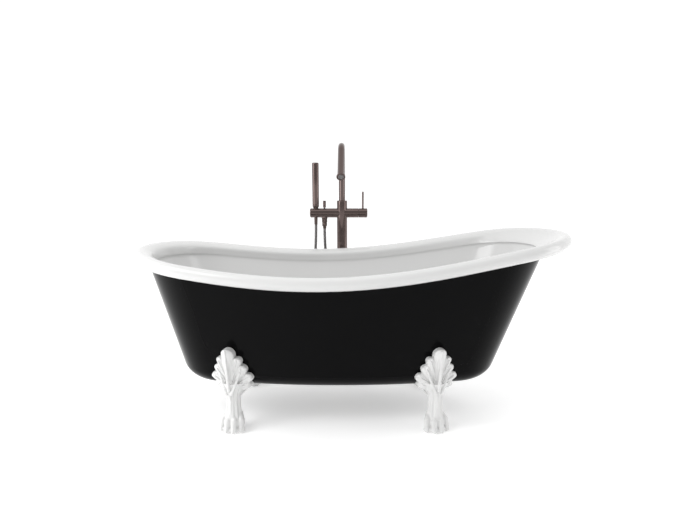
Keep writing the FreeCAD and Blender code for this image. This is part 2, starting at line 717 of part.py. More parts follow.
# The mixer is one casting: barrel, bar across it, spigot into the column and boss for the hose.
barrel = rod("mixer_barrel", "column_dia", "joint_below_bar + barrel_above_bar", (*COLUMN_AT, COLUMN_JOINT))
spigot = rod(
    "mixer_spigot", "column_dia - 2 * column_wall - 2 * stem_clear", "spigot_length",
    (*COLUMN_AT, COLUMN_JOINT + " - spigot_length"),
)
bar_start = ("filler_x - bar_left", FILLER_Y, "bar_height")
bar = rod("mixer_bar", "bar_dia", "bar_left + bar_right", bar_start, RIGHT)
boss_at = ("filler_x - diverter_x", FILLER_Y, "bar_height - bar_dia / 2 - union_length")
boss = rod("mixer_boss", "union_dia", "union_length + bar_dia / 2", boss_at)
spout_way = rod(
    "mixer_spout_way", "spout_dia + 2 * spout_clear", "spout_seat", (*COLUMN_AT, BARREL_TOP + " - spout_seat")
)
cartridge_at = ("filler_x + bar_right - cartridge_length", FILLER_Y, "bar_height")
cartridge_way = rod("mixer_cartridge_way", "cartridge_dia + 2 * stem_clear", "cartridge_length", cartridge_at, RIGHT)
holder_way = rod(
    "mixer_holder_way", "hand_neck_dia + 2 * holder_clear", "bar_dia",
    ("filler_x - holder_x", FILLER_Y, "bar_height - bar_dia / 2"),
)
stem_at = ("filler_x - diverter_x", FILLER_Y, "bar_height")
diverter_way = rod("mixer_diverter_way", "knob_stem_dia + 2 * stem_clear", "bar_dia / 2", stem_at)
casting = fused("mixer_casting", barrel, spigot, bar, boss)
node(cut("mixer_cut", casting, spout_way, cartridge_way, holder_way, diverter_way), "mixer_body")

# The spout's centre line climbs from its seat, bends forward over the bath and runs straight to its end.
spout_start = COLUMN + UP * size(BARREL_TOP + " - spout_seat + seat_clear")
bend_start = COLUMN + UP * size(BARREL_TOP + " + spout_rise - spout_bend")
bend_middle = bend_start + V(0, -S.spout_bend, 0)


def on_bend(degrees):
    """A point of the spout's bend, this far round it."""
    turn = math.radians(degrees)
    return bend_middle + V(0, S.spout_bend * math.cos(turn), S.spout_bend * math.sin(turn))


bend_end = on_bend(S.spout_turn)
outward = FreeCAD.Rotation(V(1, 0, 0), S.spout_turn).multVec(UP)
spout_end = bend_end + outward * S.spout_tail
spout_path = Part.Wire(
    [
        Part.LineSegment(spout_start, bend_start).toShape(),
        Part.Arc(bend_start, on_bend(S.spout_turn / 2), bend_end).toShape(),
        Part.LineSegment(bend_end, spout_end).toShape(),
    ]
)
spout_ring = Part.Wire(Part.makeCircle(S.spout_dia / 2, spout_start, UP))
spout = spout_path.makePipeShell([spout_ring], True, False)
mouth = Part.makeCylinder(S.spout_dia / 2 - S.spout_wall, S.spout_tail, bend_end, outward)
ring_start = spout_end - outward * (S.outlet_length - S.outlet_proud)
outlet = Part.makeCylinder(S.outlet_dia / 2, S.outlet_length, ring_start, outward)
outlet = outlet.cut(Part.makeCylinder(S.spout_dia / 2 - S.spout_wall, S.outlet_length, ring_start, outward))
node(shaped("spout_shape", spout.cut(mouth).fuse(outlet)), "spout")
aerator_start = spout_end - outward * S.outlet_length
aerator = Part.makeCylinder(S.spout_dia / 2 - S.spout_wall - S.stem_clear, S.outlet_length, aerator_start, outward)
node(shaped("aerator_shape", aerator), "aerator")

# Hand shower, standing in the bar's hole on its tapered foot.
holder_at = ("filler_x - holder_x", FILLER_Y)
neck_under = "bar_height + bar_dia / 2 - hand_neck_length"
hand_rise = "hand_above_bar - bar_dia / 2 + hand_neck_length"
hand_stick = turned(
    "hand_shower_body",
    [
        ("0", "0"),
        ("hand_neck_dia / 2", "0"),
        ("hand_neck_dia / 2", "hand_neck_length + seat_clear"),
        ("hand_dia / 2", "hand_neck_length + hand_taper"),
        ("hand_dia / 2", hand_rise),
        ("0", hand_rise),
    ],
    (*holder_at, neck_under),
)
spray_low = "bar_height + hand_above_bar - spray_drop - spray_length"


def spray_block(name, extra):
    """The block that the spray face fills, or with an extra the pocket that it lies in."""
    wide = "(spray_width + 2 * (%s))" % extra
    return primitive(
        "Box", name,
        (
            "filler_x - holder_x - %s / 2" % wide,
            FILLER_Y + " + hand_dia / 2 - spray_set_in - (%s)" % extra,
            "%s - (%s)" % (spray_low, extra),
        ),
        Length=wide, Width="spray_thickness + 4 * (%s)" % extra, Height="spray_length + 2 * (%s)" % extra,
    )


node(cut("hand_shower_cut", hand_stick, spray_block("spray_pocket", "stem_clear")), "hand_shower")
node(spray_block("spray_block", "0"), "spray_face")

# Diverter: a knob on a stem that slides in the bar.
node(
    turned(
        "diverter_body",
        [
            ("0", "0"),
            ("knob_stem_dia / 2", "0"),
            ("knob_stem_dia / 2", "bar_dia / 2 - stem_clear + knob_lift"),
            ("knob_dia / 2", "bar_dia / 2 - stem_clear + knob_lift"),
            ("knob_dia / 2", "bar_dia / 2 - stem_clear + knob_lift + knob_height"),
            ("0", "bar_dia / 2 - stem_clear + knob_lift + knob_height"),
        ],
        ("filler_x - diverter_x", FILLER_Y, "bar_height + stem_clear"),
    ),
    "diverter_knob",
)

# Valve: a cartridge in the bar, and a hollow cap whose lever tilts in a slot.
lever_x = "filler_x + bar_right + cap_gap + cap_length - lever_from_end"
spindle_length = "cap_gap + cap_length - lever_from_end - lever_hub_dia / 2 - seat_clear"
cartridge_barrel = rod("cartridge_barrel", "cartridge_dia", "cartridge_length", cartridge_at, RIGHT)
spindle_at = ("filler_x + bar_right", FILLER_Y, "bar_height")
spindle = rod("cartridge_spindle", "spindle_dia", spindle_length, spindle_at, RIGHT)
node(fused("cartridge_whole", cartridge_barrel, spindle), "valve_cartridge")
cap_at = ("filler_x + bar_right + cap_gap", FILLER_Y, "bar_height")
cap_outside = rod("cap_outside", "bar_dia", "cap_length", cap_at, RIGHT)
cap_inside = rod("cap_inside", "bar_dia - 2 * cap_wall", "cap_length - cap_wall", cap_at, RIGHT)
slot_width = "(lever_dia + 2 * holder_clear)"
slot = primitive(
    "Box", "cap_slot",
    (lever_x + " - %s / 2" % slot_width, FILLER_Y + " - %s / 2" % slot_width, "bar_height"),
    Length="%s + bar_dia / 2 * tan(lever_tilt) + holder_clear" % slot_width, Width=slot_width, Height="bar_dia",
)
node(cut("cap_cut", cap_outside, cap_inside, slot), "lever_cap")
hub_length = "2 * sqrt((bar_dia / 2 - cap_wall - seat_clear) ^ 2 - (lever_hub_dia / 2) ^ 2)"
hub_at = (lever_x, FILLER_Y + " - (%s) / 2" % hub_length, "bar_height")
lever_hub = rod("lever_hub", "lever_hub_dia", hub_length, hub_at, V(0, 1, 0))
pin = rod("lever_rod", "lever_dia", "lever_length", (lever_x, FILLER_Y, "bar_height"))
node(fused("lever_whole", lever_hub, pin), "lever_pin")

# ---------------------------------------------------------------- hose
hand_nut_under = neck_under + " - hand_nut_length"
node(rod("hand_nut_rod", "hand_nut_dia", "hand_nut_length", (*holder_at, hand_nut_under)), "hose_nut_hand")
outlet_nut_under = "bar_height - bar_dia / 2 - union_length - outlet_nut_length"
outlet_nut_at = ("filler_x - diverter_x", FILLER_Y, outlet_nut_under)
node(rod("outlet_nut_rod", "outlet_nut_dia", "outlet_nut_length", outlet_nut_at), "hose_nut_outlet")

# The hose hangs in one loop from the hand shower to its outlet. Each point is taken from the column's foot.
HOSE_ROUTE = (
    (-127, 0, 725),
    (-127, 0, 620),
    (-149, 8, 430),
    (-184, 13, 240),
    (-190, 15, 77),
    (-115, 18, 34),
    (-42, 24, 77),
    (-42, 32, 240),
    (-61, 22, 425),
    (-85, 0, 590),
    (-85, 0, 706),
)
ARC_SHARE = 0.45  # how much of the shorter run a bend takes up at each side of its point
HOSE_SIDES = 12


def smooth_path(points):
    """Straight runs joined by tangent arcs, each as large as its two runs allow, with the least radius."""
    edges, least = [], None
    start = points[0]
    for before, point, after in zip(points, points[1:], points[2:]):
        back, ahead = (before - point).normalize(), (after - point).normalize()
        reach = ARC_SHARE * min(before.distanceToPoint(point), after.distanceToPoint(point))
        half_turn = (math.pi - back.getAngle(ahead)) / 2
        radius = reach / math.tan(half_turn)
        middle = point + (back + ahead).normalize() * (radius / math.cos(half_turn) - radius)
        edges.append(Part.LineSegment(start, point + back * reach).toShape())
        edges.append(Part.Arc(point + back * reach, middle, point + ahead * reach).toShape())
        start = point + ahead * reach
        least = radius if least is None else min(least, radius)
        print("hose bend radius %.0f" % radius)
    edges.append(Part.LineSegment(start, points[-1]).toShape())
    return Part.Wire(edges)


hose_points = [COLUMN + V(*point) for point in HOSE_ROUTE]
hose_points[0] = COLUMN + V(-S.holder_x, 0, size(hand_nut_under))
hose_points[-1] = COLUMN + V(-S.diverter_x, 0, size(outlet_nut_under))
hose_path = smooth_path(hose_points)
spoke = V(S.hose_dia / 2, 0, 0)
corners = [hose_points[0] + FreeCAD.Rotation(UP, 360 * side / HOSE_SIDES).multVec(spoke) for side in range(HOSE_SIDES)]
section = facet(*corners)
hose = hose_path.makePipeShell([section.OuterWire], True, False)
print("hose length %.0f" % hose_path.Length)
print("hose volume over section times length %.4f" % (hose.Volume / (hose_path.Length * section.Area)))
node(shaped("hose_shape", hose), "shower_hose")

# ---------------------------------------------------------------- write the pieces
doc.recompute()
for thing in doc.Objects:
    if "Invalid" in thing.State or "Error" in thing.State:
        raise RuntimeError("%s: %s" % (thing.Label, thing.State))
os.makedirs("parts", exist_ok=True)
for thing in NODES:
    if thing.Shape.isNull() or not thing.Shape.isValid():
        raise RuntimeError("%s has no valid shape" % thing.Label)
    thing.Shape.exportStep("parts/%s.step" % thing.Label)
    print("%-20s %2d solids %10.1f cc" % (thing.Label, len(thing.Shape.Solids), thing.Shape.Volume / 1000))
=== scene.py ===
import bpy
import bmesh
import math
from mathutils import Matrix, Vector


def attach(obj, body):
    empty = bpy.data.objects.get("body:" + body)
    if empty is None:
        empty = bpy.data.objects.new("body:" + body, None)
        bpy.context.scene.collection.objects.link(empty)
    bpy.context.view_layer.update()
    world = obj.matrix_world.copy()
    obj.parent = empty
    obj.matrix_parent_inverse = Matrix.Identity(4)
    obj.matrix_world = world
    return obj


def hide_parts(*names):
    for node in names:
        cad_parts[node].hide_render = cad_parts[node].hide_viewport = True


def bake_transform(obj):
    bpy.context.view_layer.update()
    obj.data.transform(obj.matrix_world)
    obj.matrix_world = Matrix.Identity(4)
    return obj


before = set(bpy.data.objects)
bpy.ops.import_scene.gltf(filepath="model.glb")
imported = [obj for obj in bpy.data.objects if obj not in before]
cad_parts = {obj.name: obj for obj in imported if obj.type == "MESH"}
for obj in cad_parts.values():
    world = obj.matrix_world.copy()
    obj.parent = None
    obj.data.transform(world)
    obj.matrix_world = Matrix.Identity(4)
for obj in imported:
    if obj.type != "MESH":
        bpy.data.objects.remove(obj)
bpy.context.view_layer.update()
ROOT = "bath_and_stand"

# Places in the frame of the set, in metres.
BATH = Vector((0, -0.0645, 0))
COLUMN = Vector((-0.047, 0.3755, 0))


def link(thing):
    bpy.context.scene.collection.objects.link(thing)
    return thing


# ------------------------------------------------------------- camera
lens = bpy.data.cameras.new("camera")
lens.sensor_width = 36
lens.lens = 25.71
camera = link(bpy.data.objects.new("camera", lens))
camera.location = (-0.0084, -2.0565, 0.957)
camera.rotation_euler = (math.radians(90 - 9.8), 0, 0)
bpy.context.scene.camera = camera


# ------------------------------------------------------------- materials
def material(
    name, color, roughness, metallic=0.0, mottle=0.0, scale=40.0, bump=0.0, bump_scale=200.0,
    rough_mottle=0.0, **sockets,
):
    """A surface with a little variation of colour, gloss and height over it."""
    made = bpy.data.materials.new(name)
    made.use_nodes = True
    tree = made.node_tree
    surface = tree.nodes["Principled BSDF"]
    surface.inputs["Metallic"].default_value = metallic
    for socket, value in sockets.items():
        surface.inputs[socket.replace("_", " ")].default_value = value
    where = tree.nodes.new("ShaderNodeTexCoord").outputs["Object"]

    def noise(size, detail=4.0):
        node = tree.nodes.new("ShaderNodeTexNoise")
        node.inputs["Scale"].default_value = size
        node.inputs["Detail"].default_value = detail
        tree.links.new(where, node.inputs["Vector"])
        return node.outputs["Fac"]

    def ramp(source, low, high):
        node = tree.nodes.new("ShaderNodeMapRange")
        node.inputs["To Min"].default_value = low
        node.inputs["To Max"].default_value = high
        tree.links.new(source, node.inputs["Value"])
        return node.outputs["Result"]

    mix = tree.nodes.new("ShaderNodeMix")
    mix.data_type = "RGBA"
    mix.inputs["A"].default_value = (*[c * (1 - mottle) for c in color], 1)
    mix.inputs["B"].default_value = (*[min(1, c * (1 + mottle)) for c in color], 1)
    tree.links.new(noise(scale), mix.inputs["Factor"])
    tree.links.new(mix.outputs["Result"], surface.inputs["Base Color"])
    smoothest = max(0.01, roughness * (1 - rough_mottle))
    rough = ramp(noise(scale * 1.7), smoothest, roughness * (1 + rough_mottle))
    tree.links.new(rough, surface.inputs["Roughness"])
    if bump:
        node = tree.nodes.new("ShaderNodeBump")
        node.inputs["Strength"].default_value = 1.0
        node.inputs["Distance"].default_value = bump
        tree.links.new(noise(bump_scale, 2.0), node.inputs["Height"])
        tree.links.new(node.outputs["Normal"], surface.inputs["Normal"])
    return made


BLACK = material(
    "black_acrylic", (0.0022, 0.0022, 0.0024), 0.1, mottle=0.15, scale=6, bump=0.00004, bump_scale=9,
    rough_mottle=0.2, Specular_IOR_Level=0.05,
)
WHITE = material(
    "white_acrylic", (0.64, 0.64, 0.636), 0.14, mottle=0.006, scale=5, bump=0.00003, bump_scale=8,
    rough_mottle=0.2, Coat_Weight=0.12, Coat_Roughness=0.05,
)
FEET = material(
    "white_enamel", (0.70, 0.70, 0.695), 0.32, mottle=0.012, scale=60, bump=0.0002, bump_scale=260,
    rough_mottle=0.25, Coat_Weight=0.2, Coat_Roughness=0.12,
)
NICKEL = material(
    "dark_nickel", (0.13, 0.099, 0.093), 0.1, 1.0, mottle=0.05, scale=30, bump=0.00001, bump_scale=90,
    rough_mottle=0.3,
)
STEEL = material(
    "zinc_steel", (0.5, 0.5, 0.51), 0.34, 1.0, mottle=0.06, scale=90, bump=0.00004, bump_scale=700,
)
CHROME = material("chrome", (0.62, 0.62, 0.64), 0.07, 1.0, mottle=0.02, scale=30, rough_mottle=0.3)
BRASS = material("brass", (0.6, 0.46, 0.22), 0.27, 1.0, mottle=0.06, scale=60, bump=0.00003, bump_scale=500)
RUBBER = material("rubber", (0.03, 0.03, 0.031), 0.75, mottle=0.2, scale=90, bump=0.00008, bump_scale=900)
SPRAY = material(
    "spray_rubber", (0.09, 0.09, 0.093), 0.5, mottle=0.08, scale=120, bump=0.00005, bump_scale=600,
)
MESH = material(
    "aerator_mesh", (0.28, 0.27, 0.27), 0.35, 0.9, mottle=0.3, scale=1500, bump=0.0002, bump_scale=1800,
)
BOARD = material("board", (0.42, 0.33, 0.22), 0.7, mottle=0.25, scale=35, bump=0.0002, bump_scale=300)
CARTRIDGE = material("cartridge", (0.7, 0.69, 0.66), 0.5, mottle=0.03, bump=0.00002, bump_scale=400)
HOSE = material("hose_strip", (0.20, 0.19, 0.19), 0.24, 1.0, mottle=0.08, scale=80, rough_mottle=0.3)


def faced_outward(mesh):
    """The same mesh with every face turned to the outside."""
    work = bmesh.new()
    work.from_mesh(mesh)
    bmesh.ops.recalc_face_normals(work, faces=work.faces)
    work.to_mesh(mesh)
    work.free()
    return mesh


def applied(holder):
    """The mesh of an object with its modifiers applied; the object itself goes."""
    bpy.context.view_layer.update()
    made = bpy.data.meshes.new_from_object(holder.evaluated_get(bpy.context.evaluated_depsgraph_get()))
    bpy.data.objects.remove(holder)
    return made


def band(low, high, count):
    """Faces between two rings of points that start at these numbers."""
    turns = [(step, (step + 1) % count) for step in range(count)]
    return [(low + here, low + after, high + after, high + here) for here, after in turns]


def stacked(rings):
    """Points and faces of a closed solid from ring to ring, flat at both ends."""
    count, last = len(rings[0]), len(rings) - 1
    faces = [tuple(reversed(range(count))), tuple(range(last * count, len(rings) * count))]
    for index in range(last):
        faces += band(index * count, (index + 1) * count, count)
    return [point for ring in rings for point in ring], faces


def finish(name, skin):
    """Gives a solid of the frame its surface."""
    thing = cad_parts[name]
    thing.data.materials.clear()
    thing.data.materials.append(skin)


def piece(name, points, faces, skin, body=ROOT):
    """A finished piece from its points and faces."""
    mesh = bpy.data.meshes.new(name)
    mesh.from_pydata([tuple(p) for p in points], [], faces)
    mesh.validate()
    mesh.update()
    mesh.materials.append(skin)
    faced_outward(mesh)
    mesh.shade_smooth()
    thing = link(bpy.data.objects.new(name, mesh))
    if body:
        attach(thing, body)
    return thing


def crease(thing, degrees=35):
    """Smooth shading apart from the piece's real edges."""
    thing.data.set_sharp_from_angle(angle=math.radians(degrees))


# ------------------------------------------------------------- shower hose
HOSE_POINTS = (
    (-0.127, 0, 0.7255),
    (-0.127, 0, 0.620),
    (-0.149, 0.008, 0.430),
    (-0.184, 0.013, 0.240),
    (-0.190, 0.015, 0.077),
    (-0.115, 0.018, 0.034),
    (-0.042, 0.024, 0.077),
    (-0.042, 0.032, 0.240),
    (-0.061, 0.022, 0.425),
    (-0.085, 0, 0.590),
    (-0.085, 0, 0.7065),
)
HOSE_DIAMETER = 0.014
HOSE_SIDES = 20
HOSE_STEP = 0.0009
STRIP = 0.0036  # one turn of the wound strip
STRIP_GROOVE = 0.0006


def nurbs_line(points):
    """Points along the smooth line that a cord's own points control."""
    curve = bpy.data.curves.new("line", "CURVE")
    curve.dimensions = "3D"
    curve.resolution_u = 40
    spline = curve.splines.new("NURBS")
    spline.points.add(len(points) - 1)
    for own, point in zip(spline.points, points):
        own.co = (*point, 1)
    spline.order_u = 3
    spline.use_endpoint_u = True
    holder = link(bpy.data.objects.new("line", curve))
    bpy.context.view_layer.update()
    mesh = bpy.data.meshes.new_from_object(holder)
    line = [vertex.co.copy() for vertex in mesh.vertices]
    bpy.data.objects.remove(holder)
    return line


def even_line(line, step):
    """The same line with its points a step apart."""
    total = sum((b - a).length for a, b in zip(line, line[1:]))
    count = round(total / step)
    even, wanted, run = [line[0].copy()], total / count, 0.0
    for a, b in zip(line, line[1:]):
        length = (b - a).length
        while run + length >= wanted - 1e-9 and len(even) < count:
            share = (wanted - run) / length
            a = a.lerp(b, share)
            length = (b - a).length
            run = 0.0
            even.append(a.copy())
        run += length
    return even + [line[-1].copy()], total


hose_line, hose_length = even_line(nurbs_line([COLUMN + Vector(p) for p in HOSE_POINTS[::-1]]), HOSE_STEP)
points, faces = [], []
across = Vector((0, 1, 0))
for index, spot in enumerate(hose_line):
    ahead = (hose_line[min(index + 1, len(hose_line) - 1)] - hose_line[max(index - 1, 0)]).normalized()
    across = (across - ahead * across.dot(ahead)).normalized()
    other = ahead.cross(across)
    for side in range(HOSE_SIDES):
        turn = 2 * math.pi * side / HOSE_SIDES
        phase = (index * HOSE_STEP / STRIP + side / HOSE_SIDES) % 1
        radius = HOSE_DIAMETER / 2 - STRIP_GROOVE * (abs(2 * phase - 1) ** 3)
        if index in (0, len(hose_line) - 1):
            radius = HOSE_DIAMETER / 2 - STRIP_GROOVE
        points.append(spot + (across * math.cos(turn) + other * math.sin(turn)) * radius)
for index in range(len(hose_line) - 1):
    faces += band(index * HOSE_SIDES, (index + 1) * HOSE_SIDES, HOSE_SIDES)
faces.append(tuple(range(HOSE_SIDES)))
faces.append(tuple(reversed(range(len(points) - HOSE_SIDES, len(points)))))
hose = piece("shower_hose_wound", points, faces, HOSE, body=None)
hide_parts("shower_hose")
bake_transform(hose)

# ------------------------------------------------------------- bath
END_TURN, CORNER_TURN, QUARTER_TURN = (math.radians(d) for d in (38, 80, 90))
END_STEPS, CORNER_STEPS, SIDE_STEPS = 16, 18, 12
RIM_LENGTH, RIM_WIDTH, ROLL = 1.7, 0.746, 0.024
RIM_HEIGHTS = (0.6865, 0.634, 0.624, 0.680, 0.743)
OVERHANG = (0.052, 0.098, 0.045)
SHIFT = -0.053


def quarter_oval(half_length, half_width):
    corner = 0.8 * half_width
    across = half_width - corner * (math.sin(CORNER_TURN) - math.sin(END_TURN))
    along = half_length - corner * (math.cos(END_TURN) - math.cos(CORNER_TURN))
    end_in, end_out = 1 - math.cos(END_TURN), math.sin(END_TURN)
    side_in, side_out = 1 - math.sin(CORNER_TURN), math.cos(CORNER_TURN)
    share = end_out * side_out - side_in * end_in
    end = (across * side_out - side_in * along) / share
    side = (end_out * along - end_in * across) / share
    x, y = half_length, 0.0
    spots = [(x, y)]
    for radius, start, stop, steps in (
        (end, 0, END_TURN, END_STEPS), (corner, END_TURN, CORNER_TURN, CORNER_STEPS),
        (side, CORNER_TURN, QUARTER_TURN, SIDE_STEPS),
    ):
        for step in range(steps):
            first = start + (stop - start) * step / steps
            last = start + (stop - start) * (step + 1) / steps
            x -= radius * (math.cos(first) - math.cos(last))
            y += radius * (math.sin(last) - math.sin(first))
            spots.append((x, y))
    return spots


def oval(left, right, half_width, height):
    quarter = quarter_oval((right - left) / 2, half_width)
    middle = (left + right) / 2
    flat = list(quarter) + [(-x, y) for x, y in quarter[-2::-1]]
    flat += [(-x, -y) for x, y in quarter[1:]] + [(x, -y) for x, y in quarter[-2:0:-1]]
    level = height if callable(height) else lambda x: height
    return [BATH + Vector((middle + x, y, level(middle + x))) for x, y in flat]


def rim_height(x):
    stations = (-1, -0.5, 0, 0.5, 1)
    place = x / (RIM_LENGTH / 2)
    total = 0
    for station, height in zip(stations, RIM_HEIGHTS):
        weight = 1
        for other in stations:
            if other != station:
                weight *= (place - other) / (station - other)
        total += weight * height
    return total


def below_rim(depth, left_in, right_in=None, side_in=None):
    """A ring this far below the rim's line, set in from the rim's ends and sides."""
    right_in = left_in if right_in is None else right_in
    side_in = left_in if side_in is None else side_in
    half = RIM_LENGTH / 2
    return oval(left_in - half, half - right_in, RIM_WIDTH / 2 - side_in, lambda x: rim_height(x) - depth)


def under_rim(depth, set_in):
    return below_rim(depth, *(over + set_in for over in OVERHANG))


def bottom_corner(half_length, half_width, floor, radius, steps):
    sweep = math.radians(72)
    rings = []
    for step in range(steps + 1):
        turn = sweep * step / steps
        set_in = radius * (math.sin(sweep) - math.sin(turn))
        height = floor + radius * (1 - math.cos(turn))
        left, right = SHIFT - half_length + set_in, SHIFT + half_length - set_in
        rings.append(oval(left, right, half_width - set_in, height))
    return rings


def hole_ring(like, radius, height):
    """A round ring with a point for each of another ring's."""
    middle = BATH + Vector((SHIFT, 0, 0))
    ring = []
    for spot in like:
        out = Vector((spot.x - middle.x, (spot.y - middle.y), 0)).normalized() * radius
        ring.append(Vector((middle.x + out.x, middle.y + out.y, height)))
    return ring


def through(rings, steps):
    """Rings on the smooth curves through these rings, the first and last of which only steer."""
    made = [rings[1]]
    for a, b, c, d in zip(rings, rings[1:], rings[2:], rings[3:]):
        for step in range(1, steps + 1):
            t = step / steps
            made.append([
                0.5 * (
                    2 * q + (r - p) * t + (2 * p - 5 * q + 4 * r - s) * t * t
                    + (3 * q - p - 3 * r + s) * t ** 3
                )
                for p, q, r, s in zip(a, b, c, d)
            ])
    return made


def looped(name, rings, skin):
    """A closed shell whose section runs right round from ring to ring."""
    count = len(rings[0])
    faces = []
    for index in range(len(rings)):
        faces += band(index * count, (index + 1) % len(rings) * count, count)
    thing = piece(name, [p for ring in rings for p in ring], faces, skin)
    crease(thing, 50)
    return thing


FLOOR, FLOOR_UNDER = 0.186, 0.178
inner = bottom_corner(0.575, 0.190, FLOOR, 0.085, 12)
wall_top = under_rim(0.078, 0.022)
control = [
    inner[-1], [a.lerp(b, 0.5) for a, b in zip(inner[-1], wall_top)], wall_top, under_rim(0.045, 0.0185),
    below_rim(0.0175, 0.063), below_rim(0.0045, 0.043), below_rim(0, 0.024), below_rim(0.0011, 0.0168),
]
roll = []
for step in range(1, 19):
    turn = math.pi * step / 18
    roll.append(below_rim(ROLL * (1 - math.cos(turn)), ROLL * (1 - math.sin(turn))))
outer = bottom_corner(0.581, 0.196, FLOOR_UNDER, 0.091, 8)
rings = [hole_ring(inner[0], 0.025, FLOOR)] + inner[:-1] + [inner[-1]] + through(control, 5) + roll
rings += [under_rim(2 * ROLL, 0.011)] + outer[::-1] + [hole_ring(outer[0], 0.025, FLOOR_UNDER)]
basin = looped("bath_basin_smooth", rings, WHITE)
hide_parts("bath_basin")

BOTTOM, WALL = 0.156, 0.004


def skin_outside(grown, steps):
    rings = bottom_corner(0.634 + grown, 0.228 + grown, BOTTOM - grown, 0.092 + grown, steps)
    return rings + [under_rim(2 * ROLL + 0.0003, -grown)]


outside = skin_outside(0, 12)
inside = bottom_corner(0.630, 0.224, BOTTOM + WALL, 0.088, 8)
rings = [hole_ring(outside[0], 0.06, BOTTOM)] + outside + [under_rim(2 * ROLL + 0.0003, WALL)]
rings += inside[::-1] + [hole_ring(inside[0], 0.06, BOTTOM + WALL)]
shell = looped("outer_skin_smooth", rings, BLACK)
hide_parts("outer_skin")

# ------------------------------------------------------------- claw feet
# A foot's own frame has its sole's middle at the origin and faces -Y.


def wall_y(z):
    """Where the bath's wall stands behind the leaf."""
    return -0.005 - (z - 0.254) * 0.302


class Clay:
    """Points and faces of many closed lumps, gathered before they are melted into one skin."""

    def __init__(self):
        self.points, self.faces = [], []
        ball = bmesh.new()
        bmesh.ops.create_icosphere(ball, subdivisions=3, radius=1.0)
        self.ball_points = [vertex.co.copy() for vertex in ball.verts]
        self.ball_faces = [tuple(vertex.index for vertex in face.verts) for face in ball.faces]
        ball.free()

    def add(self, points, faces):
        first = len(self.points)
        self.points += points
        self.faces += [tuple(first + index for index in face) for face in faces]

    def ball(self, at, size):
        at = Vector(at)
        points = [at + Vector((p.x * size[0], p.y * size[1], p.z * size[2])) for p in self.ball_points]
        self.add(points, self.ball_faces)

    def limb(self, start, end, first, last):
        """A limb that swells from one size to another along its line."""
        start, end = Vector(start), Vector(end)
        steps = max(2, math.ceil((end - start).length / (0.35 * min(first, last))))
        for step in range(steps + 1):
            t = step / steps
            size = first + (last - first) * t
            self.ball(start.lerp(end, t), (size, size, size))

    def rings(self, rings):
        self.add(*stacked(rings))


def leaf_edge(x, z):
    """How far forward the leaf's edge lies: off the wall, and further towards the leaf's middle."""
    return wall_y(z) - 0.006 - 0.017 * (1 - min(1, abs(x) / 0.085)) ** 1.3


def on_leaf(x, z, proud):
    """A point this far in front of the leaf's edge."""
    return (x, leaf_edge(x, z) - proud, z)


def petal(clay, root, tip, first, last, thick, sharp=1.0, depth=0.030):
    """One lobe of the leaf: a tapered round-ended plate with a domed or, where sharp, a ridged front."""
    (x0, z0), (x1, z1) = root, tip
    along = Vector((x1 - x0, z1 - z0))
    length = along.length
    along.normalize()
    lean = math.acos(max(-1, min(1, (first - last) / length)))
    turns = []
    for step in range(17):
        turns.append((True, -lean + 2 * lean * step / 16))
    for step in range(11):
        turns.append((False, lean + (2 * math.pi - 2 * lean) * step / 10))
    rings = []
    levels = [(1.0, -depth), (1.0, 0.0)]
    for degrees in (15, 30, 45, 58, 70, 80, 88):
        slope = math.radians(degrees)
        levels.append((math.cos(slope), thick * math.sin(slope) ** sharp))
    for share, proud in levels:
        ring = []
        for outer, turn in turns:
            radius = (last if outer else first) * share
            middle = Vector((x1, z1)) if outer else Vector((x0, z0))
            side = Vector((-along.y, along.x))
            spot = middle + along * radius * math.cos(turn) + side * radius * math.sin(turn)
            ring.append(Vector((spot.x, leaf_edge(spot.x, spot.y) - proud, spot.y)))
        rings.append(ring)
    clay.rings(rings)


# Lobes of the leaf from its tip down: sideways reach, height, radius and how proud they stand.
LOBES = (
    (0.0335, 0.2855, 0.0145, 0.010),
    (0.0440, 0.2490, 0.0192, 0.011),
    (0.0620, 0.2130, 0.0187, 0.011),
    (0.0495, 0.1805, 0.0195, 0.012),
)
LEAF_ROOT = 0.172


def leaf(clay):
    petal(clay, (0, LEAF_ROOT), (0, 0.3125), 0.030, 0.0237, 0.013, sharp=1.4)
    petal(clay, (0, 0.196), (0, 0.272), 0.048, 0.030, 0.012)
    petal(clay, (0, 0.190), (0, 0.232), 0.050, 0.050, 0.009)
    for side in (-1, 1):
        for reach, height, radius, proud in LOBES:
            root = (side * reach * 0.22, LEAF_ROOT + 0.25 * (height - LEAF_ROOT))
            petal(clay, root, (side * reach, height), radius * 0.95, radius, proud)
            vein_end = (side * reach * 1.04, height + radius * 0.2)
            petal(clay, root, vein_end, 0.0042, 0.0026, proud + 0.0055, depth=0.004)
            for turn in (-32, 32):
                way = Vector((side * reach - root[0], height - root[1]))
                off = Matrix.Rotation(math.radians(turn), 2) @ way.normalized() * radius * 0.62
                spot = (side * reach + off.x, height + off.y)
                petal(clay, (root[0] * 1.4, root[1]), spot, radius * 0.40, radius * 0.42, proud * 0.98)
        # the strong rib from the leg to the third lobe, and the rib beside the ridge
        clay.limb((side * 0.010, -0.036, 0.158), on_leaf(side * 0.040, 0.238, 0.011), 0.0066, 0.0042)
        clay.limb(
            on_leaf(side * 0.0125, 0.200, 0.010), on_leaf(side * 0.0125, 0.302, 0.0085), 0.0034, 0.0030,
        )
    # the ridge, from the paw up the leg and to the leaf's tip
    clay.limb((0, -0.0365, 0.174), (0, -0.0235, 0.128), 0.0062, 0.0052)
    clay.limb((0, -0.0235, 0.128), (0, -0.0265, 0.064), 0.0052, 0.0044)
    clay.limb((0, -0.037, 0.172), on_leaf(0, 0.329, 0.0095), 0.0068, 0.0036)


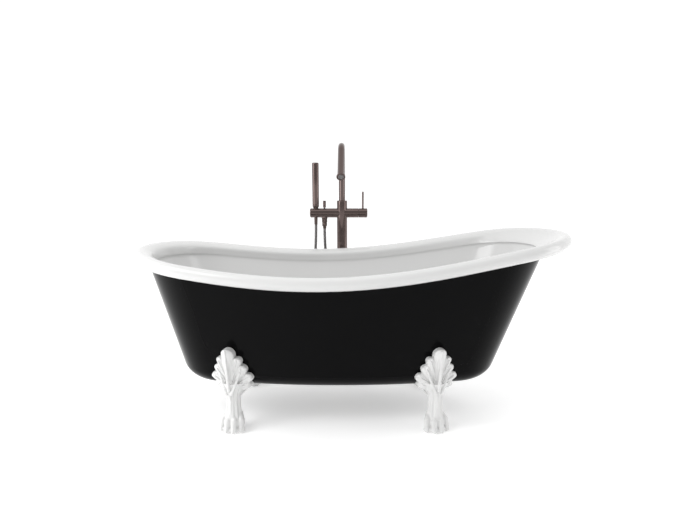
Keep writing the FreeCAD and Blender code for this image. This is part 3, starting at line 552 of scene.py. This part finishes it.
# The leg from the ankle up: height, half width, reach to the front and to the back.
LEG = (
    (0.046, 0.0370, 0.0360, 0.0320),
    (0.058, 0.0335, 0.0325, 0.0290),
    (0.072, 0.0308, 0.0300, 0.0270),
    (0.090, 0.0295, 0.0280, 0.0258),
    (0.112, 0.0285, 0.0268, 0.0250),
    (0.134, 0.0285, 0.0268, 0.0252),
    (0.152, 0.0305, 0.0290, 0.0270),
    (0.168, 0.0370, 0.0335, 0.0310),
    (0.182, 0.0450, 0.0370, 0.0360),
    (0.196, 0.0500, 0.0390, 0.0400),
)
# The leg's flutes: degrees from the front, depth and width.
FLUTES = ((-64, 0.13, 9), (-31, 0.15, 9), (0, 0.05, 7), (31, 0.15, 9), (64, 0.13, 9))
LEG_SIDES = 96


def leg(clay):
    rings = []
    for height, half_width, front, back in LEG:
        fade = math.sin(math.pi * min(1, max(0, (height - 0.040) / 0.150))) ** 0.6
        ring = []
        for step in range(LEG_SIDES):
            turn = 2 * math.pi * step / LEG_SIDES
            from_front = math.degrees((turn - 1.5 * math.pi + math.pi) % (2 * math.pi) - math.pi)
            inset = sum(
                deep * math.exp(-((from_front - middle) / wide) ** 2) for middle, deep, wide in FLUTES
            )
            reach = front if math.sin(turn) < 0 else back
            scale = 1 - inset * fade
            ring.append(Vector((half_width * math.cos(turn) * scale, reach * math.sin(turn) * scale, height)))
        rings.append(ring)
    clay.rings(rings)
    clay.ball((0, 0.004, 0.186), (0.040, 0.034, 0.030))
    clay.ball((0, 0.028, 0.160), (0.029, 0.034, 0.024))


def paw(clay):
    clay.ball((0, -0.002, 0.034), (0.043, 0.036, 0.031))
    clay.ball((0, 0.014, 0.020), (0.037, 0.026, 0.017))
    clay.ball((0, -0.012, 0.014), (0.045, 0.033, 0.016))
    for x, y in ((-0.0368, -0.015), (-0.0128, -0.029), (0.0128, -0.029), (0.0368, -0.015)):
        clay.limb((x * 0.66, y + 0.020, 0.066), (x * 0.96, y + 0.001, 0.045), 0.0105, 0.0128)
        clay.limb((x * 0.96, y + 0.001, 0.045), (x * 1.04, y - 0.008, 0.024), 0.0128, 0.0112)
        clay.limb((x * 1.04, y - 0.008, 0.024), (x * 1.05, y - 0.0095, 0.0125), 0.0112, 0.0112)
        clay.limb((x * 1.06, y - 0.0155, 0.019), (x * 1.07, y - 0.0175, 0.0095), 0.0056, 0.0052)
        clay.ball((x * 1.02, y - 0.002, 0.0095), (0.0125, 0.0140, 0.0095))


PAD = 0.003  # height of the pad that the foot stands on
FOOT_SIDE = 0.207
SHELF_LENGTH, SHELF_WIDTH, SHELF_THICKNESS, SHELF_MIDDLE = 0.150, 0.058, 0.020, 0.146


def foot_mesh():
    """The carved foot in its own frame: all its lumps melted into one skin."""
    clay = Clay()
    leaf(clay)
    leg(clay)
    paw(clay)
    mesh = bpy.data.meshes.new("foot")
    mesh.from_pydata([tuple(point) for point in clay.points], [], clay.faces)
    holder = link(bpy.data.objects.new("foot", mesh))
    remesh = holder.modifiers.new("one skin", "REMESH")
    remesh.mode = "VOXEL"
    remesh.voxel_size = 0.0012
    smooth = holder.modifiers.new("soften", "SMOOTH")
    smooth.factor = 0.5
    smooth.iterations = 3
    made = applied(holder)
    # the sole is cut flat on its pad
    work = bmesh.new()
    work.from_mesh(made)
    whole = work.verts[:] + work.edges[:] + work.faces[:]
    bmesh.ops.bisect_plane(work, geom=whole, plane_co=(0, 0, PAD), plane_no=(0, 0, -1), clear_outer=True)
    open_edges = [edge for edge in work.edges if edge.is_boundary]
    bmesh.ops.holes_fill(work, edges=open_edges, sides=0)
    work.to_mesh(made)
    work.free()
    return made


def trimmed(mesh, solid, operation):
    """One mesh joined with another, or cut by it."""
    holder = link(bpy.data.objects.new("blank", mesh))
    tool = link(bpy.data.objects.new("tool", solid))
    change = holder.modifiers.new("trim", "BOOLEAN")
    change.object = tool
    change.operation = operation
    change.solver = "MANIFOLD"
    made = applied(holder)
    bpy.data.objects.remove(tool)
    return made


def closed_rings(rings):
    """A mesh of a closed solid from ring to ring."""
    points, faces = stacked(rings)
    mesh = bpy.data.meshes.new("rings")
    mesh.from_pydata([tuple(point) for point in points], [], faces)
    return faced_outward(mesh)


def shelf_mesh():
    """The shelf behind the foot, with its upright edges rounded."""
    mesh = bpy.data.meshes.new("shelf")
    place = Matrix.Translation((0, SHELF_LENGTH / 2, SHELF_MIDDLE))
    size = Matrix.Diagonal((SHELF_WIDTH, SHELF_LENGTH, SHELF_THICKNESS, 1))
    work = bmesh.new()
    bmesh.ops.create_cube(work, size=1.0, matrix=place @ size)
    upright = [edge for edge in work.edges if abs(edge.verts[0].co.z - edge.verts[1].co.z) > 0.01]
    bmesh.ops.bevel(work, geom=upright, offset=0.008, segments=4, affect="EDGES")
    work.to_mesh(mesh)
    work.free()
    return mesh


bath_solid = closed_rings(skin_outside(0.0003, 10)[:-1] + [oval(-0.82, 0.80, 0.345, 0.70)])
blank = trimmed(foot_mesh(), shelf_mesh(), "UNION")
# Along the bath, degrees turned, and the side of the centre line.
FOOT_PLACES = {
    "foot_front_left": (-0.452, -10, -1),
    "foot_front_right": (0.316, 10, -1),
    "foot_rear_left": (-0.452, 190, 1),
    "foot_rear_right": (0.316, 170, 1),
}
for label, (x, yaw, side) in FOOT_PLACES.items():
    place = Matrix.Translation(BATH + Vector((x, side * FOOT_SIDE, 0)))
    mesh = blank.copy()
    mesh.transform(place @ Matrix.Rotation(math.radians(yaw), 4, "Z"))
    mesh = trimmed(mesh, bath_solid.copy(), "DIFFERENCE")
    mesh.name = label + "_cast"
    mesh.materials.clear()
    mesh.materials.append(FEET)
    mesh.shade_smooth()
    foot = link(bpy.data.objects.new(label + "_cast", mesh))
    crease(foot, 48)
    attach(foot, ROOT)
    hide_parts(label)

# ------------------------------------------------------------- filler
# Turned pieces run along their own line. Their outlines are (radius, way along the line), from end to end.


def softened(outline, radius, closed=False):
    """An outline with every corner rounded, as far as its two sides allow."""
    corners = [Vector(point) for point in outline]
    count = len(corners)
    made = []
    for index, corner in enumerate(corners):
        if not closed and index in (0, count - 1):
            made.append(corner)
            continue
        before, after = corners[index - 1] - corner, corners[(index + 1) % count] - corner
        reach = min(radius, 0.45 * before.length, 0.45 * after.length)
        start, end = corner + before.normalized() * reach, corner + after.normalized() * reach
        for step in range(5):
            share = step / 4
            made.append(start * (1 - share) ** 2 + corner * 2 * share * (1 - share) + end * share ** 2)
    return made


def straight(start, along=(0, 0, 1)):
    """A straight line as a function that gives a point, its direction and a side, this far along."""
    start, along = Vector(start), Vector(along).normalized()
    side = along.orthogonal().normalized()
    return lambda way: (start + along * way, along, side)


def spun(outline, line, soft=0.0012, closed=False, sides=72):
    """A mesh turned along a line: solid from pole to pole, or a closed section round a bore."""
    outline = softened(outline, soft, closed)
    points, faces, rows = [], [], []
    for radius, way in outline:
        spot, along, side = line(way)
        other = along.cross(side)
        if radius < 1e-6:
            rows.append([len(points)] * sides)
            points.append(spot)
            continue
        rows.append(list(range(len(points), len(points) + sides)))
        for step in range(sides):
            turn = 2 * math.pi * step / sides
            points.append(spot + (side * math.cos(turn) + other * math.sin(turn)) * radius)
    pairs = list(zip(rows, rows[1:]))
    if closed:
        pairs.append((rows[-1], rows[0]))
    for low, high in pairs:
        for step in range(sides):
            after = (step + 1) % sides
            face = (low[step], low[after], high[after], high[step])
            face = tuple(dict.fromkeys(face))
            if len(face) > 2:
                faces.append(face)
    mesh = bpy.data.meshes.new("turned")
    mesh.from_pydata([tuple(point) for point in points], [], faces)
    return faced_outward(mesh)


def block(low, high, bevel=0.0):
    """A box between two corners."""
    mesh = bpy.data.meshes.new("block")
    low, high = Vector(low), Vector(high)
    size = high - low
    work = bmesh.new()
    place = Matrix.Translation((low + high) / 2) @ Matrix.Diagonal((*size, 1))
    bmesh.ops.create_cube(work, size=1.0, matrix=place)
    if bevel:
        bmesh.ops.bevel(work, geom=work.edges[:], offset=bevel, segments=3, affect="EDGES")
    work.to_mesh(mesh)
    work.free()
    return mesh


def dressed(name, mesh, skin, slot, body, *nodes, angle=32):
    """A finished piece in place of its nodes."""
    mesh.name = name
    mesh.materials.clear()
    mesh.materials.append(skin)
    mesh.shade_smooth()
    thing = link(bpy.data.objects.new(name, mesh))
    crease(thing, angle)
    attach(thing, body)
    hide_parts(*nodes)
    return thing


def at(x, y, z):
    """A place from the column's foot."""
    return COLUMN + Vector((x, y, z))


BAR_Z, BAR_R = 0.781, 0.0225
COLUMN_R, COLUMN_TOP, BARREL_TOP, SCREW_CIRCLE = 0.025, 0.590, 0.841, 0.047
HOLDER_X, DIVERTER_X, LEVER_X = -0.127, -0.085, 0.1006

column = spun(
    [
        (0.0225, 0), (0.062, 0), (0.062, 0.0055), (0.0545, 0.0085), (0.034, 0.0098), (0.0278, 0.0125),
        (COLUMN_R, 0.019), (COLUMN_R, COLUMN_TOP), (0.0225, COLUMN_TOP),
    ],
    straight(at(0, 0, 0)), closed=True,
)
for turn in (45, 135, 225, 315):
    x, y = SCREW_CIRCLE * math.cos(math.radians(turn)), SCREW_CIRCLE * math.sin(math.radians(turn))
    drill = spun(
        [(0, -0.01), (0.0045, -0.01), (0.0045, 0.0078), (0.0062, 0.0101), (0.0062, 0.02), (0, 0.02)],
        straight(at(x, y, 0)), 0,
    )
    column = trimmed(column, drill, "DIFFERENCE")
dressed("riser_column_turned", column, NICKEL, "dark_nickel", ROOT, "riser_column")

mixer = spun(
    [
        (0, 0.572), (0.0224, 0.572), (0.0224, COLUMN_TOP), (COLUMN_R, COLUMN_TOP), (COLUMN_R, 0.8385),
        (0.0228, BARREL_TOP), (0, BARREL_TOP),
    ],
    straight(at(0, 0, 0)), 0.001,
)
bar = spun(
    [(0, 0), (0.0185, 0), (BAR_R, 0.0028), (BAR_R, 0.235), (0, 0.235)],
    straight(at(-0.155, 0, BAR_Z), (1, 0, 0)), 0.002,
)
boss = spun(
    [(0, 0), (0.0118, 0), (0.013, 0.0015), (0.013, 0.0165), (0.0145, 0.0215), (0.0145, 0.045), (0, 0.045)],
    straight(at(DIVERTER_X, 0, 0.7345)), 0.001,
)
mixer = trimmed(trimmed(mixer, bar, "UNION"), boss, "UNION")
for outline, line in (
    ([(0, 0), (0.01505, 0), (0.01505, 0.06), (0, 0.06)], straight(at(0, 0, 0.801))),
    ([(0, 0), (0.01755, 0), (0.01755, 0.06), (0, 0.06)], straight(at(0.034, 0, BAR_Z), (1, 0, 0))),
    ([(0, -0.03), (0.0114, -0.03), (0.0114, 0.03), (0, 0.03)], straight(at(HOLDER_X, 0, BAR_Z))),
    ([(0, 0), (0.00355, 0), (0.00355, 0.03), (0, 0.03)], straight(at(DIVERTER_X, 0, BAR_Z))),
):
    mixer = trimmed(mixer, spun(outline, line, 0), "DIFFERENCE")
dressed("mixer_body_cast", mixer, NICKEL, "dark_nickel", ROOT, "mixer_body")

SPOUT_R, BEND_R, BEND_TURN, TAIL = 0.015, 0.095, math.radians(131), 0.176
SPOUT_FOOT, SPOUT_CROWN = 0.8013, 1.092
RISE = SPOUT_CROWN - BEND_R - SPOUT_FOOT


def spout_line(way):
    """The spout's centre line: up, round its bend over the bath and straight on."""
    side = Vector((1, 0, 0))
    if way <= RISE:
        return at(0, 0, SPOUT_FOOT + way), Vector((0, 0, 1)), side
    turn = min((way - RISE) / BEND_R, BEND_TURN)
    along = Vector((0, -math.sin(turn), math.cos(turn)))
    spot = at(0, -BEND_R + BEND_R * math.cos(turn), SPOUT_FOOT + RISE + BEND_R * math.sin(turn))
    return spot + along * max(0.0, way - RISE - BEND_R * BEND_TURN), along, side


spout_end = RISE + BEND_R * BEND_TURN + TAIL
bend = [(SPOUT_R, RISE + BEND_R * BEND_TURN * step / 40) for step in range(41)]
# The ring round the outlet and its bore: radius, and way past the spout's end.
OUTLET = (
    (SPOUT_R, -0.0078), (0.0178, -0.0070), (0.019, -0.0055), (0.019, 0.0008), (0.0178, 0.002),
    (0.0138, 0.002), (0.013, 0.0012), (0.013, -0.012), (0, -0.012),
)
spout = spun(
    [(0, 0), (SPOUT_R, 0)] + bend + [(radius, spout_end + way) for radius, way in OUTLET],
    spout_line, 0.0006, sides=64,
)
dressed("spout_bent", spout, NICKEL, "dark_nickel", "spout_arm", "spout")

hand = spun(
    [
        (0, 0), (0.0102, 0), (0.011, 0.0015), (0.011, 0.0374), (0.0150, 0.0440), (0.016, 0.0520),
        (0.016, 0.0545), (0.0155, 0.0550), (0.0155, 0.0562), (0.016, 0.0567), (0.016, 0.2500),
        (0.0143, 0.2532), (0.010, 0.2545), (0, 0.2545),
    ],
    straight(at(HOLDER_X, 0, 0.7665)), 0.0012,
)
pocket = block(at(HOLDER_X - 0.0091, 0.0109, 0.9369), at(HOLDER_X + 0.0091, 0.03, 1.0071))
hand = trimmed(hand, pocket, "DIFFERENCE")
dressed("hand_shower_turned", hand, NICKEL, "dark_nickel", "hand_set", "hand_shower")
spray = block(at(HOLDER_X - 0.009, 0.011, 0.937), at(HOLDER_X + 0.009, 0.0134, 1.007), 0.0006)
for column_x in (-0.0055, 0, 0.0055):
    for row in range(11):
        start = at(HOLDER_X + column_x, 0.0128, 0.9415 + 0.0061 * row)
        nozzle = spun(
            [(0, 0), (0.0013, 0), (0.0009, 0.0014), (0, 0.0014)],
            straight(start, (0, 1, 0)), 0.0002, sides=16,
        )
        spray = trimmed(spray, nozzle, "UNION")
dressed("spray_face_nozzles", spray, SPRAY, "spray_rubber", "hand_set", "spray_face")

knob = spun(
    [
        (0, 0), (0.0035, 0), (0.0035, 0.0264), (0.0070, 0.0264), (0.0075, 0.0275), (0.0075, 0.0330),
        (0.0066, 0.0345), (0.0066, 0.0360), (0.0075, 0.0375), (0.0075, 0.0570), (0.0060, 0.0594),
        (0, 0.0594),
    ],
    straight(at(DIVERTER_X, 0, BAR_Z + 0.00005)), 0.0006, sides=48,
)
dressed("diverter_knob_turned", knob, NICKEL, "dark_nickel", "diverter", "diverter_knob")

cap = spun(
    [
        (0.0185, 0), (BAR_R, 0), (BAR_R, 0.0392), (0.0197, 0.042), (0.0030, 0.042), (0.0028, 0.0416),
        (0, 0.0416), (0, 0.038), (0.0185, 0.038),
    ],
    straight(at(0.0806, 0, BAR_Z), (1, 0, 0)), 0.0008, closed=True,
)
lever_slot = block(at(LEVER_X - 0.0049, -0.0049, BAR_Z), at(LEVER_X + 0.01133, 0.0049, BAR_Z + 0.05))
cap = trimmed(cap, lever_slot, "DIFFERENCE")
dressed("lever_cap_turned", cap, NICKEL, "dark_nickel", "cap", "lever_cap")
lever = spun(
    [(0, 0), (0.0045, 0), (0.0045, 0.0985), (0.0036, 0.1018), (0.0016, 0.103), (0, 0.103)],
    straight(at(LEVER_X, 0, BAR_Z)), 0.001, sides=48,
)
hub = spun(
    [(0, 0), (0.008, 0), (0.008, 0.0327), (0, 0.0327)],
    straight(at(LEVER_X, -0.01635, BAR_Z), (0, 1, 0)), 0.0006, sides=48,
)
dressed("lever_pin_turned", trimmed(lever, hub, "UNION"), NICKEL, "dark_nickel", "lever", "lever_pin")

hand_nut = spun(
    [
        (0, 0), (0.0074, 0), (0.0077, 0.0012), (0.0086, 0.0300), (0.0086, 0.0312), (0.0081, 0.0318),
        (0.0081, 0.0330), (0.009, 0.0336), (0.009, 0.041), (0, 0.041),
    ],
    straight(at(HOLDER_X, 0, 0.7255)), 0.0006, sides=60,
)
dressed("hose_nut_hand_cone", hand_nut, NICKEL, "dark_nickel", "hand_set", "hose_nut_hand")
outlet_nut = spun(
    [
        (0, 0), (0.0080, 0), (0.0084, 0.0012), (0.0088, 0.0100), (0.0112, 0.0118), (0.012, 0.0132),
        (0.012, 0.0262), (0.0112, 0.028), (0, 0.028),
    ],
    straight(at(DIVERTER_X, 0, 0.7065)), 0.0006, sides=60,
)
dressed("hose_nut_outlet_turned", outlet_nut, NICKEL, "dark_nickel", ROOT, "hose_nut_outlet")

# ------------------------------------------------------------- plug and finishes of the rest
DRAIN = BATH + Vector((SHIFT, 0, 0))
plug = spun(
    [
        (0, 0), (0.0034, 0), (0.004, 0.001), (0.004, 0.030), (0.0285, 0.030), (0.031, 0.0318),
        (0.0295, 0.0330), (0.0230, 0.0336), (0.0225, 0.0331), (0.0218, 0.0337), (0.010, 0.0340), (0, 0.0340),
    ],
    straight(DRAIN + Vector((0, 0, 0.1595))), 0.0006,
)
dressed("waste_plug_domed", plug, CHROME, "bright_waste", "plug", "waste_plug")
for names, skin in (
    ("base_board", BOARD), ("foot_bolts", STEEL), ("foot_pads waste_seal", RUBBER), ("waste_flange", CHROME),
    ("waste_nut", BRASS), ("aerator", MESH), ("valve_cartridge", CARTRIDGE),
):
    for name in names.split():
        finish(name, skin)

# ------------------------------------------------------------- studio
FLOOR_REACH = 30
corners = [(x * FLOOR_REACH, y * FLOOR_REACH, 0) for x, y in ((-1, -1), (1, -1), (1, 1), (-1, 1))]
floor_mesh = bpy.data.meshes.new("floor")
floor_mesh.from_pydata(corners, [], [(0, 1, 2, 3)])
floor = link(bpy.data.objects.new("floor", floor_mesh))
# The floor glows a little, so that it stays nearly white under the soft lamps.
floor_mesh.materials.append(material(
    "studio_floor", (0.93, 0.93, 0.93), 0.9, mottle=0.002, Emission_Color=(1, 1, 1, 1), Emission_Strength=0.3,
))

world = bpy.data.worlds.new("studio")
bpy.context.scene.world = world
world.use_nodes = True
# The studio is white behind the bath and darker behind the camera.
tree = world.node_tree
way = tree.nodes.new("ShaderNodeTexCoord")
parts = tree.nodes.new("ShaderNodeSeparateXYZ")
fall = tree.nodes.new("ShaderNodeMapRange")
fall.inputs["From Min"].default_value = -0.6
fall.inputs["From Max"].default_value = 0.3
fall.inputs["To Min"].default_value = 0.6
fall.inputs["To Max"].default_value = 1.08
tree.links.new(way.outputs["Generated"], parts.inputs["Vector"])
tree.links.new(parts.outputs["Y"], fall.inputs["Value"])
tree.links.new(fall.outputs["Result"], tree.nodes["Background"].inputs["Strength"])
tree.nodes["Background"].inputs["Color"].default_value = (1, 1, 1, 1)
bpy.context.scene.view_settings.view_transform = "Standard"


def lamp(name, place, target, size, power):
    """A soft lamp that the picture doesn't show itself."""
    data = bpy.data.lights.new(name, "AREA")
    data.shape = "RECTANGLE"
    data.size, data.size_y = size
    data.energy = power
    thing = link(bpy.data.objects.new(name, data))
    thing.location = place
    thing.rotation_euler = (Vector(target) - Vector(place)).to_track_quat("-Z", "Y").to_euler()
    thing.visible_camera = False


lamp("key", (-1.9, -1.6, 2.6), (0, 0, 0.4), (1.6, 1.6), 30)
lamp("left_strip", (-2.4, -0.9, 1.1), (0, 0.2, 0.8), (1.2, 2.4), 26)
lamp("right_strip", (2.5, -0.5, 1.1), (0, 0.2, 0.8), (0.9, 2.4), 12)
lamp("top", (0, -0.4, 3.0), (0, 0, 0), (2.4, 1.0), 6)
